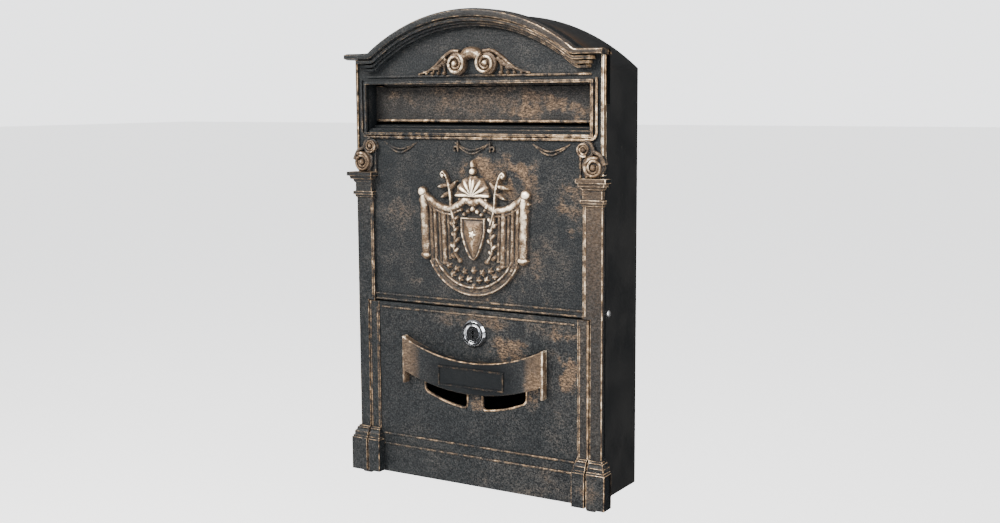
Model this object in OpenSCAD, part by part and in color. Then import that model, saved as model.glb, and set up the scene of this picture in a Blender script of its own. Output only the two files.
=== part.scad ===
// Wall mounted mailbox: two front castings, a folded sheet body, a mail flap and a cam lock.
// Modules are drawn with X across, Y from the front of the feet back to the wall, and
// Z up from the soles of the feet. place() then moves the origin to the middle of the
// four wall holes, on the back face.

/* [Body] */
// Width over the sheet sides
body_w = 245; // [235:1:260]
// Depth from the front of the feet to the wall
body_d = 72; // [68:1:100]
// Height from the feet to the crown of the cornice
body_h = 410; // [400:1:430]
// Rise of the arched roof above its springing
arch_rise = 47; // [42:1:52]
// Thickness of the sheet metal
sheet_t = 0.8; // [0.6:0.1:1.0]

/* [Castings] */
// Wall thickness of the front castings
cast_t = 3; // [2.5:0.5:3.5]
// Height of the lower door
door_h = 156; // [150:1:160]
// Gap between the door and the frame
door_gap = 0.7; // [0.5:0.1:1.0]
// Height of a foot block
foot_h = 29.5; // [26:0.5:32]
// Width over the foot blocks
foot_w = 257; // [252:1:262]

/* [Mail slot] */
// Clear width of the mail slot
slot_w = 222; // [200:1:224]
// Clear height of the mail slot
slot_h = 42; // [36:1:44]
// Depth of the slot's tunnel behind the foot line
tunnel_y = 23; // [20:1:25]

/* [Door pull] */
// Width of the banner-shaped pull
pull_w = 142; // [130:1:150]
// Height of the banner's ends above the feet
pull_top = 128; // [124:1:130]
// Dip of the banner's upper edge
pull_dip = 17; // [14:1:20]

/* [Lock] */
// Height of the lock above the feet
lock_z = 135.5; // [134:0.5:137]
// Radius of the lock's bezel
bezel_r = 12.3; // [11.5:0.1:13]
// Radius of the threaded barrel
barrel_r = 9.3; // [9:0.1:9.5]
// Length of the cam from the lock's axis to its tip
cam_l = 32; // [30:1:36]

/* [Wall fixing] */
// Distance between the wall holes across the back
hole_dx = 180; // [150:5:190]
// Distance between the wall holes up the back
hole_dz = 240; // [200:5:250]
// Height of the middle of the wall holes above the feet
hole_mid_z = 200; // [190:5:205]
// Radius of a wall hole
hole_r = 3; // [2.5:0.25:3.5]

/* [Hidden] */
$fn = 96;
eps = 0.01;

cast_colour = "#3a3430";
sheet_colour = "#2b2b2d";
chrome_colour = "#c9ccd0";
zinc_colour = "#a9abad";

// Body outline
half = body_w / 2;
sole_z = 6;
roof_z = body_h - 3;
spring_z = roof_z - arch_rise;
roof_r = (half * half + arch_rise * arch_rise) / (2 * arch_rise);
roof_mid = roof_z - roof_r;

// Planes of the front, measured back from the front of the feet
cornice_y = -3.8;
panel_y = 10;
shaft_y = 7;
rim_y = 6.9;
back_y = panel_y + cast_t;
edge_y = 14;
skirt_y = 24;

// Cornice and ears
cornice_r = 169;
cornice_mid = body_h - cornice_r;
ear_half = 126;
ear_top = spring_z + 15;
ear_low = ear_top - 5.5;

// Mail slot
slot_half = slot_w / 2;
slot_top = spring_z - 11.5;
slot_low = slot_top - slot_h;
sill_rise = 6.8;

// Pilasters
foot_half = foot_w / 2;
shaft_in = 105;
door_half = 110.5;
cap_z = slot_low - 35;
base_z = foot_h + 13.5;

// Door
door_y = 8;
door_back = door_y + cast_t;
flange_y = door_back + 3;
hinge_y = 7;
hinge_z = 3;
pin_r = 2;
lug_r = 6.5;
ledge_y = flange_y + 0.5;

// Banner pull, and the two finger openings below it that lead up behind its face
pull_half = pull_w / 2;
pull_front = 0.5;
pull_back = 3;
pull_low = 82.8;
pull_foot = 86;
pull_wall = 2.6;
pull_top_r = (pull_half * pull_half + pull_dip * pull_dip) / (2 * pull_dip);
pull_low_r = 175;
grip_low = 69;
grip_r = 119.6;
grip_half = 51;
bridge_half = 8;
door_foot_in = 98;

// Lock, along Y
bezel_y = 4.8;
barrel_end = 24;
cam_y = barrel_end + 0.8;
cam_t = 2;
plug_r = 6.4;
neck_r = 5;
tang = 6;
play = 0.05;
rib_z0 = door_h + 1;
rib_t = 4;
rib_y = cam_y - 0.6;

// Flap
rod_y = 20;
rod_z = slot_top + 6;
rod_r = 1.5;
flap_y = tunnel_y + 0.3;
flap_t = 1.5;
lug_x = 104;
crest_z = (door_h + slot_low) / 2 - 5;

// Fixings
rivet_y = 19.5;
rivet_z = 161;
rivet_r = 1.6;
bottom_rivet_x = [-70, 70];

module place() translate([0, -body_d, -hole_mid_z]) children();

module both_sides() {
    children();
    mirror([1, 0, 0]) children();
}

// A block given by its two corners
module block(low, high) translate(low) cube(high - low);

// An outline drawn in X and Z, made solid from y0 back to y1
module slab(y0, y1) translate([0, y1, 0]) rotate([90, 0, 0]) linear_extrude(y1 - y0) children();

// A turned piece whose axis runs back along Y
module rod_along_y(y0, y1, r) translate([0, y0, 0]) rotate([-90, 0, 0]) cylinder(r = r, h = y1 - y0);

// A turned piece whose axis runs across along X
module rod_along_x(x0, x1, r) translate([x0, 0, 0]) rotate([0, 90, 0]) cylinder(r = r, h = x1 - x0);

module at_lock() translate([0, 0, lock_z]) children();

// Arched outline of the body, drawn in by inset, from bottom up
module arched(inset, bottom) {
    intersection() {
        translate([-half + inset, bottom]) square([body_w - 2 * inset, roof_z - bottom]);
        union() {
            translate([0, roof_mid]) circle(r = roof_r - inset, $fn = 180);
            translate([-half, bottom]) square([body_w, roof_mid - bottom]);
        }
    }
}

module box_2d(half_w, z0, z1) translate([-half_w, z0]) square([2 * half_w, z1 - z0]);

// Box outline with round lower corners
module round_box_2d(half_w, z0, z1, r) {
    translate([-half_w, z0 + r]) square([2 * half_w, z1 - z0 - r]);
    translate([-half_w + r, z0]) square([2 * (half_w - r), r]);
    for (side = [-1, 1]) translate([side * (half_w - r), z0 + r]) circle(r = r);
}

// Square corners that fill the casting out below the ears, and their short side returns
module ear_corners() {
    both_sides() {
        block([half - 14, panel_y, spring_z - 4], [half, edge_y, ear_low + eps]);
        block([half - 2, panel_y - 1, spring_z - 30], [half + 1.2, edge_y, ear_low + eps]);
        block([half + 0.1, panel_y, spring_z - 30], [half + 1.2, edge_y + 3.5, ear_low + eps]);
    }
}

// One step of the arched cornice, down to the foot of the ears
module cornice_step(r_out, r_in, y0) {
    slab(y0, back_y) intersection() {
        translate([0, cornice_mid]) difference() {
            circle(r = r_out, $fn = 180);
            circle(r = r_in, $fn = 180);
        }
        box_2d(half - 20, ear_low, body_h + 1);
    }
}

module cornice() {
    cornice_step(cornice_r, 161, cornice_y);
    cornice_step(161.5, 158.8, -1);
    cornice_step(159, 156.8, 1.8);
    cornice_step(157, 154.6, 4.6);
    both_sides() {
        block([100, cornice_y, ear_low], [ear_half, back_y, ear_top]);
        block([98, -1, ear_low - 3.5], [114.6, back_y, ear_low + eps]);
        block([97, 2, ear_low - 7], [112.6, back_y, ear_low - 3]);
    }
}

// Stepped base or capital: each step is [inner x, outer x, front y, low z, high z]
module steps(list) for (s = list) block([s[0], s[2], s[3]], [s[1], back_y, s[4]]);

module capital() {
    both_sides() steps([
        [101.5, foot_half, 0, cap_z - 3.6, cap_z],
        [103, foot_half - 2.2, 1.8, cap_z - 7, cap_z - 3],
        [104.6, half + 1.5, 4.4, cap_z - 9.5, cap_z - 6.5],
        [105.6, half, 5.4, cap_z - 17, cap_z - 9],
        [103.6, half + 2.3, 4, cap_z - 20, cap_z - 17],
        [104.6, half + 0.7, 5.6, cap_z - 22, cap_z - 20]]);
}

// Scroll brackets that stand on the capitals
module consoles() {
    both_sides() {
        translate([115, 0, cap_z + 8.8]) rod_along_y(3.5, back_y, 9.5);
        translate([115, 0, cap_z + 8.8]) rod_along_y(2, back_y, 4);
        translate([105.8, 0, cap_z + 23]) rod_along_y(4.5, back_y, 6.5);
        translate([105.8, 0, cap_z + 23]) rod_along_y(3, back_y, 3);
        block([101.6, shaft_y + 0.8, cap_z - 1], [110, back_y, cap_z + 19]);
    }
}

module foot_steps(x_in, x_out) {
    steps([
        [x_in, x_out, 0, 0, foot_h],
        [x_in, x_out - 0.9, 0.8, foot_h, foot_h + 2],
        [x_in, x_out - 2, 1.8, foot_h + 2, foot_h + 8],
        [x_in, x_out - 4.2, 3.6, foot_h + 8, foot_h + 12],
        [x_in, x_out - 5.4, 5, foot_h + 12, base_z]]);
}

module frame_pilasters() {
    strip_in = door_half + door_gap;
    both_sides() {
        foot_steps(strip_in, foot_half);
        block([strip_in, shaft_y, base_z], [half, edge_y, rib_z0]);
        block([shaft_in, shaft_y, rib_z0], [half, back_y, cap_z]);
        block([strip_in, back_y - 1, 0], [half, edge_y, rib_z0]);
        translate([0, hinge_y, hinge_z]) rod_along_x(strip_in, 117.5, lug_r);
    }
}

// Rim, tunnel and sloping sill of the mail slot
module slot_surround() {
    slab(rim_y, back_y) round_box_2d(slot_half + 2.3, slot_low - 2.4, slot_top + 1.8, 2);
    slab(7.6, back_y) difference() {
        round_box_2d(slot_half + 6.2, slot_low - 5, slot_top + 4, 6);
        round_box_2d(slot_half + 4.2, slot_low - 3.4, slot_top + 2.8, 4.5);
    }
    slab(back_y - eps, tunnel_y) box_2d(slot_half + cast_t, slot_low - cast_t, slot_top + 2.5);
    block([-slot_half, 8.4, slot_top + 5.4], [slot_half, panel_y, slot_top + 7]);
}

module slot_cut() {
    difference() {
        block([-slot_half, rim_y - 1, slot_low], [slot_half, tunnel_y + 1, slot_top]);
        rotate([90, 0, 90]) translate([0, 0, -slot_half - 1]) linear_extrude(slot_w + 2)
            polygon([[rim_y - 1, slot_low - 1], [tunnel_y + 2, slot_low - 1],
                     [tunnel_y + 2, slot_low + sill_rise], [tunnel_y, slot_low + sill_rise],
                     [rim_y, slot_low], [rim_y - 1, slot_low]]);
    }
}

// A hanging swag of cloth, as a thin raised arc
module swag(x, r, drop) {
    slab(8.6, panel_y) intersection() {
        translate([x, slot_low - 7 + r - drop]) difference() {
            circle(r = r);
            circle(r = r - 2.2);
        }
        box_2d(half - 14, slot_low - 25, slot_low - 8);
    }
}

// Plain shield on a medallion, between folds of cloth, below a small dome
module crest() {
    translate([0, 0, crest_z]) {
        slab(8.2, panel_y) translate([0, -8]) circle(r = 50);
        slab(7, panel_y) intersection() {
            translate([0, -8]) difference() {
                circle(r = 52);
                circle(r = 48);
            }
            box_2d(53, -62, -20);
        }
        slab(4.4, panel_y) intersection() {
            translate([11, 0]) circle(r = 30);
            translate([-11, 0]) circle(r = 30);
            box_2d(16, -32, 14);
        }
        for (side = [-1, 1], i = [0:3]) {
            translate([side * (25 + 7.5 * i), 8.4, -30 + 5 * i]) cylinder(r = 3.4, h = 46);
        }
        slab(6, panel_y) intersection() {
            translate([0, 30]) circle(r = 14);
            box_2d(14, 30, 44);
        }
        translate([0, 0, 47]) rod_along_y(6, panel_y, 3.5);
        slab(6.5, panel_y) box_2d(16, 27, 30);
    }
}

// Pair of scrolls above the mail slot
module scrolls() {
    both_sides() {
        translate([14.5, 0, spring_z + 4]) rod_along_y(2.5, panel_y, 9);
        translate([14.5, 0, spring_z + 4]) rod_along_y(1.5, panel_y, 4);
        slab(6.5, panel_y) intersection() {
            translate([16, spring_z - 18]) circle(r = 32);
            translate([15, spring_z - 5]) square([30, 18]);
        }
    }
    translate([0, 0, spring_z + 12]) rod_along_y(4, panel_y, 5.5);
}

// Skirt that the sheet body slides over, open at the bottom
module skirt() {
    slab(edge_y - 1, skirt_y) difference() {
        arched(1, 0);
        arched(1 + cast_t + 0.8, -1);
    }
}

module flap_lugs() {
    both_sides() {
        block([lug_x, back_y - eps, slot_top + 1], [lug_x + cast_t, tunnel_y, rod_z + 5]);
    }
}

module front_frame() {
    color(cast_colour) difference() {
        union() {
            slab(panel_y, edge_y) arched(0, rib_z0);
            slab(8, panel_y) difference() {
                arched(0, cap_z + 30);
                arched(2, cap_z + 29);
            }
            skirt();
            cornice();
            ear_corners();
            frame_pilasters();
            capital();
            consoles();
            slot_surround();
            flap_lugs();
            crest();
            scrolls();
            for (x = [-73, 0, 73]) swag(x, 36, 9);
            for (z = [rib_z0 + 0.6, rib_z0 + 5]) block([-100, 8.8, z], [100, panel_y, z + 1.6]);
            block([-half + 4, back_y, rib_z0], [half - 4, rib_y, rib_z0 + rib_t]);
            block([-half + 4, edge_y + 2.5, sole_z + 0.9], [half - 4, skirt_y, sole_z + 6]);
            both_sides() block([106, ledge_y, sole_z + 5], [half - 4, ledge_y + 2.5, rib_z0 + 1]);
        }
        slot_cut();
        both_sides() translate([0, hinge_y, hinge_z]) rod_along_x(door_half, 119, pin_r + 0.02);
        translate([0, rod_y, rod_z]) rod_along_x(-130, 130, rod_r + 0.02);
        both_sides() translate([0, rivet_y, rivet_z]) rod_along_x(half - 10, half + 1, rivet_r);
        for (x = bottom_rivet_x) translate([x, rivet_y, 0]) cylinder(r = rivet_r, h = 20);
    }
}

// Banner outline: ends square, upper edge dipped, lower edge bowed
module banner_2d(inset) {
    difference() {
        intersection() {
            box_2d(pull_half - inset, pull_low + inset - 1, pull_top - inset);
            translate([0, pull_low + pull_low_r]) circle(r = pull_low_r - inset, $fn = 360);
        }
        translate([0, pull_top - pull_dip + pull_top_r]) circle(r = pull_top_r + inset, $fn = 360);
    }
}

// The two openings that fingers reach through, either side of a bridge, up to lift above
// the lower edge of the banner's face
module grips_2d(lift) {
    both_grips() offset(r = 2) offset(delta = -2) difference() {
        translate([bridge_half, grip_low - 1]) square([grip_half - bridge_half, 60]);
        difference() {
            translate([0, grip_low - 2]) square([pull_half, 80]);
            translate([0, grip_low + grip_r]) circle(r = grip_r, $fn = 360);
        }
        translate([0, pull_low + lift + pull_low_r]) circle(r = pull_low_r, $fn = 360);
    }
}

module both_grips() {
    children();
    mirror([1, 0]) children();
}

module door_border() {
    both_sides() {
        door_foot();
        block([100, shaft_y - 0.4, base_z], [door_half, door_y + eps, door_h]);
        block([door_half - 3, door_back - eps, 9], [door_half, flange_y, door_h]);
    }
    block([-door_half, door_back - eps, door_h - 3], [door_half, flange_y, door_h]);
    block([-door_half, door_back - eps, 9], [door_half, flange_y, 12]);
    for (z = [25.3, 34.8, door_h - 5.4]) block([-97, 7, z], [97, door_y + eps, z + 1.5]);
}

// The door's half of a foot: each step is [set in, front y, low z, high z]
module door_foot() {
    for (s = [[0, 0, 0, foot_h], [0.8, 0.8, foot_h, foot_h + 2], [1.5, 1.8, foot_h + 2, foot_h + 8],
              [2.5, 3.6, foot_h + 8, foot_h + 12], [3, 5, foot_h + 12, base_z]])
        block([door_foot_in + s[0], s[1], s[2]], [door_half, door_back, s[3]]);
}

module door() {
    color(cast_colour) difference() {
        union() {
            slab(door_y, door_back) box_2d(door_half, 0, door_h);
            door_border();
            slab(pull_front, door_y + eps) banner_2d(0);
            both_sides() block([pull_half - pull_wall, pull_front, pull_foot],
                               [pull_half, door_y + eps, pull_foot + 20]);
            slab(pull_front - 0.6, pull_front + eps) difference() {
                box_2d(33, 88.5, 105.5);
                box_2d(31.8, 89.7, 104.3);
            }
        }
        slab(pull_back, door_back + 1) banner_2d(cast_t);
        slab(pull_back, flange_y) grips_2d(cast_t + 1);
        at_lock() slab(0, flange_y) intersection() {
            circle(r = barrel_r + 0.1);
            box_2d(barrel_r - 1, -20, 20);
        }
        both_sides() translate([0, hinge_y, hinge_z])
            rod_along_x(99, door_half + 1, pin_r + play);
    }
}

module body_rivets() {
    color(zinc_colour) both_sides() translate([0, rivet_y, rivet_z]) {
        rod_along_x(half - 5, half + eps, rivet_r - 0.02);
        rod_along_x(half, half + 1.2, 3);
    }
}

module bottom_rivets() {
    color(zinc_colour) for (x = bottom_rivet_x) translate([x, rivet_y, 0]) {
        translate([0, 0, sole_z]) cylinder(r = rivet_r - 0.02, h = 6.5);
        translate([0, 0, sole_z - 1.2]) cylinder(r = 3, h = 1.2);
        translate([0, 0, sole_z + 6]) cylinder(r = 2.6, h = 1);
    }
}

module door_pin(side) {
    color(zinc_colour) mirror([side < 0 ? 1 : 0, 0, 0]) translate([0, hinge_y, hinge_z])
        rod_along_x(99.5, 118.5, pin_r);
}

module slot_flap() {
    curl_half = lug_x - 1.5;
    curl_r = rod_r + flap_t;
    hem_z = slot_low + sill_rise + 3.2;
    color(cast_colour) difference() {
        union() {
            slab(flap_y, flap_y + flap_t) box_2d(slot_half + 2.4, hem_z, slot_top - 1.5);
            slab(flap_y, flap_y + flap_t) box_2d(curl_half, slot_top - 2, rod_z + curl_r);
            block([-curl_half, rod_y, rod_z + curl_r - flap_t],
                  [curl_half, flap_y + eps, rod_z + curl_r]);
            translate([0, rod_y, rod_z]) rod_along_x(-curl_half, curl_half, curl_r);
            translate([0, flap_y + 0.6, hem_z]) rod_along_x(-slot_half + 0.8, slot_half - 0.8, 1.2);
        }
        translate([0, rod_y, rod_z]) rod_along_x(-slot_half, slot_half, rod_r + play);
    }
}

module flap_rod() {
    color(zinc_colour) translate([0, rod_y, rod_z]) rod_along_x(-lug_x - 5.5, lug_x + 5.5, rod_r);
}

// Push-on clips that keep the rod from sliding out
module rod_clips() {
    color(zinc_colour) both_sides() translate([0, rod_y, rod_z]) difference() {
        rod_along_x(lug_x + cast_t + 0.1, lug_x + cast_t + 1.1, 3.2);
        rod_along_x(lug_x, lug_x + 6, rod_r + 0.02);
    }
}

// Sides and arched roof, folded from one sheet
module body_wrap() {
    color(sheet_colour) difference() {
        slab(edge_y + 0.05, body_d - sheet_t - 0.05) difference() {
            arched(0, sole_z);
            arched(sheet_t, sole_z - 1);
        }
        both_sides() translate([0, rivet_y, rivet_z]) rod_along_x(half - 3, half + 1, rivet_r);
    }
}

module bottom_panel() {
    inside = half - sheet_t - 0.2;
    color(sheet_colour) difference() {
        union() {
            block([-half + 5.4, edge_y + 2.5, sole_z], [half - 5.4, skirt_y + 1, sole_z + sheet_t]);
            block([-inside, skirt_y + 0.5, sole_z], [inside, body_d - 10.5, sole_z + sheet_t]);
            both_sides() block([inside - sheet_t, skirt_y + 0.5, sole_z],
                               [inside, body_d - 10.5, sole_z + 11]);
        }
        for (x = bottom_rivet_x) translate([x, rivet_y, 0]) cylinder(r = rivet_r, h = 10);
    }
}

// Back plate with three flanges turned forward inside the sheet, and the four wall holes
module back_panel() {
    rim = sheet_t + 0.1;
    flange_front = body_d - 10;
    color(sheet_colour) difference() {
        union() {
            slab(body_d - sheet_t, body_d) arched(0, sole_z);
            both_sides() block([half - rim - sheet_t, flange_front, sole_z + 8],
                               [half - rim, body_d - eps, spring_z - 6]);
            block([-half + 6, flange_front, sole_z], [half - 6, body_d - eps, sole_z + sheet_t]);
        }
        for (sx = [-1, 1], sz = [-1, 1])
            translate([sx * hole_dx / 2, 0, hole_mid_z + sz * hole_dz / 2])
                rod_along_y(body_d - 5, body_d + 1, hole_r);
    }
}

module lock_body() {
    color(chrome_colour) at_lock() difference() {
        union() {
            rod_along_y(bezel_y, door_y - 0.02, bezel_r);
            intersection() {
                rod_along_y(bezel_y, barrel_end, barrel_r);
                block([-barrel_r + 1.1, 0, -20], [barrel_r - 1.1, 40, 20]);
            }
        }
        rod_along_y(bezel_y - 1, barrel_end - 2, plug_r + play);
        rod_along_y(bezel_y, barrel_end + 1, neck_r + play);
    }
}

module lock_washer() {
    color(zinc_colour) at_lock() difference() {
        rod_along_y(door_back + 0.02, door_back + 1, 13);
        rod_along_y(door_back - 1, door_back + 2, barrel_r + 0.1);
    }
}

module lock_nut() {
    color(zinc_colour) at_lock() difference() {
        slab(door_back + 1.02, door_back + 5) circle(r = 14.5, $fn = 6);
        rod_along_y(door_back, door_back + 6, barrel_r + 0.05);
    }
}

// Key barrel with its slot in front and a square tang behind
module lock_plug() {
    color(chrome_colour) at_lock() difference() {
        union() {
            rod_along_y(bezel_y + 0.4, barrel_end - 2.1, plug_r);
            rod_along_y(bezel_y + 2, barrel_end + 0.05, neck_r);
            block([-tang / 2, barrel_end - 1, -tang / 2], [tang / 2, cam_y + cam_t - 0.1, tang / 2]);
        }
        block([-0.7, bezel_y - 1, -3.6], [0.7, 16, 3.6]);
        rod_along_y(18, cam_y + 4, 2.02);
    }
}

// Washer on the tang whose tab meets the barrel at each end of the quarter turn
module stop_washer() {
    color(zinc_colour) at_lock() difference() {
        union() {
            rod_along_y(barrel_end + 0.06, cam_y - 0.02, 7.6);
            block([-2, barrel_end + 0.06, 0], [2, cam_y - 0.02, 9.6]);
        }
        block([-tang / 2 - 0.05, 0, -tang / 2 - 0.05], [tang / 2 + 0.05, 60, tang / 2 + 0.05]);
    }
}

// Latch arm, turned aside while the lock is open
module lock_cam() {
    color(zinc_colour) at_lock() difference() {
        slab(cam_y, cam_y + cam_t) {
            circle(r = 7.8);
            translate([-cam_l, -6.5]) square([cam_l, 13]);
        }
        block([-tang / 2 - 0.05, 0, -tang / 2 - 0.05], [tang / 2 + 0.05, 60, tang / 2 + 0.05]);
    }
}

module cam_washer() {
    color(zinc_colour) at_lock() difference() {
        rod_along_y(cam_y + cam_t + 0.02, cam_y + cam_t + 0.9, 5.6);
        rod_along_y(cam_y, cam_y + 6, 2.1);
    }
}

module cam_screw() {
    screw_y = cam_y + cam_t + 0.92;
    color(zinc_colour) at_lock() difference() {
        union() {
            rod_along_y(screw_y, screw_y + 2.4, 3.7);
            rod_along_y(19, screw_y + 1, 2);
        }
        for (turn = [0, 90]) rotate([0, turn, 0])
            block([-0.5, screw_y + 1.2, -2.2], [0.5, screw_y + 4, 2.2]);
    }
}

place() front_frame();
place() door();
place() slot_flap();
place() flap_rod();
place() rod_clips();
place() body_wrap();
place() bottom_panel();
place() back_panel();
place() body_rivets();
place() bottom_rivets();
place() door_pin(-1);  // door_pin_left
place() door_pin(1);  // door_pin_right
place() lock_body();
place() lock_washer();
place() lock_nut();
place() lock_plug();
place() stop_washer();
place() lock_cam();
place() cam_washer();
place() cam_screw();
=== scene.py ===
import math

import bmesh
import bpy
import numpy as np
from mathutils import Matrix, Vector


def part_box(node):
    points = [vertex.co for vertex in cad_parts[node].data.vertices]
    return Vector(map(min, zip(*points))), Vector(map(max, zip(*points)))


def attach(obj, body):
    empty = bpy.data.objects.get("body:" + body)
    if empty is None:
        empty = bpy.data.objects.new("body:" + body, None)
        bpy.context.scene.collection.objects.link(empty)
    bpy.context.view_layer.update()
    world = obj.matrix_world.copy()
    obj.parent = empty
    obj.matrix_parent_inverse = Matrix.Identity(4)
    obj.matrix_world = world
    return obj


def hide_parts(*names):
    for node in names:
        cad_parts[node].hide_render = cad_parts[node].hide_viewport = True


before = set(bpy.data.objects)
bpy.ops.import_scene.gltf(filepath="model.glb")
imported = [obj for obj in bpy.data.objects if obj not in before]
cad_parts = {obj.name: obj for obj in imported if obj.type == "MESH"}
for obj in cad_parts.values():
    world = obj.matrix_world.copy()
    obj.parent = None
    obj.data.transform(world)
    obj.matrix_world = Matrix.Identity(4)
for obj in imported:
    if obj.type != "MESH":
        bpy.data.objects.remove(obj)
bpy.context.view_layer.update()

# Everything is drawn in millimetres: x across, y back from the front of the feet to the
# wall, z up from the soles. placed() turns that into the shared frame's metres.
MM = 0.001
BODY_DEPTH = 72.0
ORIGIN = Vector((0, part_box("back_panel")[1].y - BODY_DEPTH * MM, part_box("door")[0].z))


def drawn(node):
    """Lowest and highest corner of a CAD node, in the millimetres of the drawing."""
    return [np.array((corner - ORIGIN) / MM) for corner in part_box(node)]


def placed(points):
    return np.array(ORIGIN) + np.asarray(points, float) * MM


# Driving sizes, measured from the frame where it has them
HALF = drawn("body_wrap")[1][0]
SPRING_Z = 360.0
ROOF_Z = drawn("body_wrap")[1][2]
SOLE_Z = drawn("body_wrap")[0][2]
ARCH_RISE = ROOF_Z - SPRING_Z
ROOF_R = (HALF * HALF + ARCH_RISE * ARCH_RISE) / (2 * ARCH_RISE)
CROWN_Z = drawn("front_frame")[1][2]
FOOT_HALF = drawn("front_frame")[1][0]
DOOR_HALF = drawn("door")[1][0]
DOOR_TOP = drawn("door")[1][2]
ROD_LOW, ROD_HIGH = drawn("flap_rod")
ROD = (ROD_LOW + ROD_HIGH) / 2
ROD_R = (ROD_HIGH[2] - ROD_LOW[2]) / 2
FLAP_LOW, FLAP_HIGH = drawn("slot_flap")
LOCK_LOW, LOCK_HIGH = drawn("lock_body")
LOCK_Z = (LOCK_LOW[2] + LOCK_HIGH[2]) / 2
BEZEL_R = (LOCK_HIGH[2] - LOCK_LOW[2]) / 2

# Planes of the castings, back from the front of the feet
PANEL_Y = 10.0
DOOR_Y = 8.0
SHAFT_Y = 7.0
CORNICE_Y = -3.8
BURIED = 0.6  # how far a moulding's back lies inside the casting
PANEL_BACK = PANEL_Y + BURIED
DOOR_BACK = DOOR_Y + BURIED
REACH_Y = SHAFT_Y - 0.1  # front of the door's strips and of the shafts beside them

# Levels up the front
SLOT_HALF = 111.0
SLOT_TOP = SPRING_Z - 11.5
SLOT_LOW = SLOT_TOP - 42.0
CAP_Z = SLOT_LOW - 35.0
FOOT_H = 29.5
BASE_Z = FOOT_H + 10.5
BASE_STEP = 5.2  # depth from the foot's front to the top of its base moulding
STRIP_IN = 111.2
STRIP_LEFT = 100.2  # inner edge of the door's strips
SHAFT_IN = 105.0
GAP_EASE = 0.45  # how far each half of a foot draws back from the gap, beyond the CAD
LINE_TALL = 1.5  # height of the thin lines across the panel and the door
LINE_HALF = 97.0  # half the length of the door's
EAR_TOP = SPRING_Z + 15.0
EAR_LOW = EAR_TOP - 5.5
EAR_HALF = 126.0
CREST_Z = 226.0
CORNICE_R = 169.0
ARCH_MID_Z = CROWN_Z - CORNICE_R

# Banner pull
PULL_HALF = 71.0
PULL_TOP = 128.0
PULL_DIP = 17.0
PULL_LOW = 82.8
PULL_LOW_R = 175.0
PULL_FOOT = 86.0
PULL_Y = 0.5

# Finger openings under the banner
GRIP_LOW = 69.0
GRIP_R = 119.6
GRIP_HALF = 51.0
BRIDGE_HALF = 8.0


# ---- shells and pieces

def mirrored(shell):
    points, faces = shell
    return points * (-1, 1, 1), [tuple(reversed(face)) for face in faces]


def both_sides(*shells):
    return [side for shell in shells for side in (shell, mirrored(shell))]


def whole_turn(steps):
    return np.linspace(0, 2 * math.pi, steps, endpoint=False)


def unit(vectors):
    return vectors / np.maximum(np.linalg.norm(vectors, axis=-1, keepdims=True), 1e-9)


def fillet(points, radius, closed=True, steps=3, support=0.4):
    """Rounds the corners of a line of points, with a point beside each to hold its flats."""
    points = [np.asarray(point, float) for point in points]
    count = len(points)
    done = []
    for i, corner in enumerate(points):
        if not closed and i in (0, count - 1):
            done.append(corner)
            continue
        arms = [points[i - 1] - corner, points[(i + 1) % count] - corner]
        lengths = [np.linalg.norm(arm) for arm in arms]
        arms = [arm / length for arm, length in zip(arms, lengths)]
        half_angle = math.acos(np.clip(arms[0] @ arms[1], -1, 1)) / 2
        reach = min(radius / max(math.tan(half_angle), 1e-6), 0.42 * min(lengths))
        ends = [corner + arm * reach for arm in arms]
        held = [length > 2 * (reach + support) + 0.4 for length in lengths]
        if held[0]:
            done.append(corner + arms[0] * (reach + support))
        for t in np.linspace(0, 1, steps):
            done.append((1 - t) ** 2 * ends[0] + 2 * t * (1 - t) * corner + t * t * ends[1])
        if held[1]:
            done.append(corner + arms[1] * (reach + support))
    return np.array(done)


def tube_faces(rings, around, closed):
    """Quads between rings of points, with flat ends unless the rings close on themselves."""
    faces = []
    for i in range(rings if closed else rings - 1):
        for j in range(around):
            a, b = i * around, ((i + 1) % rings) * around
            faces.append((a + j, a + (j + 1) % around, b + (j + 1) % around, b + j))
    if not closed:
        faces.append(tuple(reversed(range(around))))
        faces.append(tuple(range((rings - 1) * around, rings * around)))
    return faces


def mitres(path, closed):
    """Sideways direction at each point of a path, stretched so that its edges stay parallel."""
    steps = unit(np.roll(path, -1, axis=0) - path)
    if not closed:
        steps[-1] = steps[-2]
    sides = np.stack([-steps[:, 1], steps[:, 0]], axis=1)
    before = np.roll(sides, 1, axis=0)
    if not closed:
        before[0] = sides[0]
    return (sides + before) / (1 + (sides * before).sum(axis=1, keepdims=True))


def sweep(path, profile, scale=None, floor_y=PANEL_Y, closed=False):
    """Carries a profile of (sideways, y) along a path of (x, z). Scale tapers it to the floor."""
    path = np.asarray(path, float)
    profile = np.asarray(profile, float)
    side = mitres(path, closed)
    scale = np.ones(len(path)) if scale is None else np.asarray(scale, float)
    rings = []
    for point, direction, size in zip(path, side, scale):
        across = point + direction * profile[:, :1] * size
        depth = floor_y + (profile[:, 1] - floor_y) * np.where(profile[:, 1] < floor_y, size, 1)
        rings.append(np.stack([across[:, 0], depth, across[:, 1]], axis=1))
    return np.concatenate(rings), tube_faces(len(path), len(profile), closed)


def along_x(outline, x0, x1):
    """An outline of (y, z) made solid between two places across."""
    outline = np.asarray(outline, float)
    stops = [x0, x0 + 0.4, (x0 + x1) / 2, x1 - 0.4, x1]
    rings = [np.column_stack([np.full(len(outline), x), outline]) for x in stops]
    return np.concatenate(rings), tube_faces(len(stops), len(outline), False)


def roll_bar(x0, x1, y, z, radius, steps=20):
    """A round bar that lies across."""
    turns = whole_turn(steps)
    return along_x([(y + radius * math.cos(a), z + radius * math.sin(a)) for a in turns], x0, x1)


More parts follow.
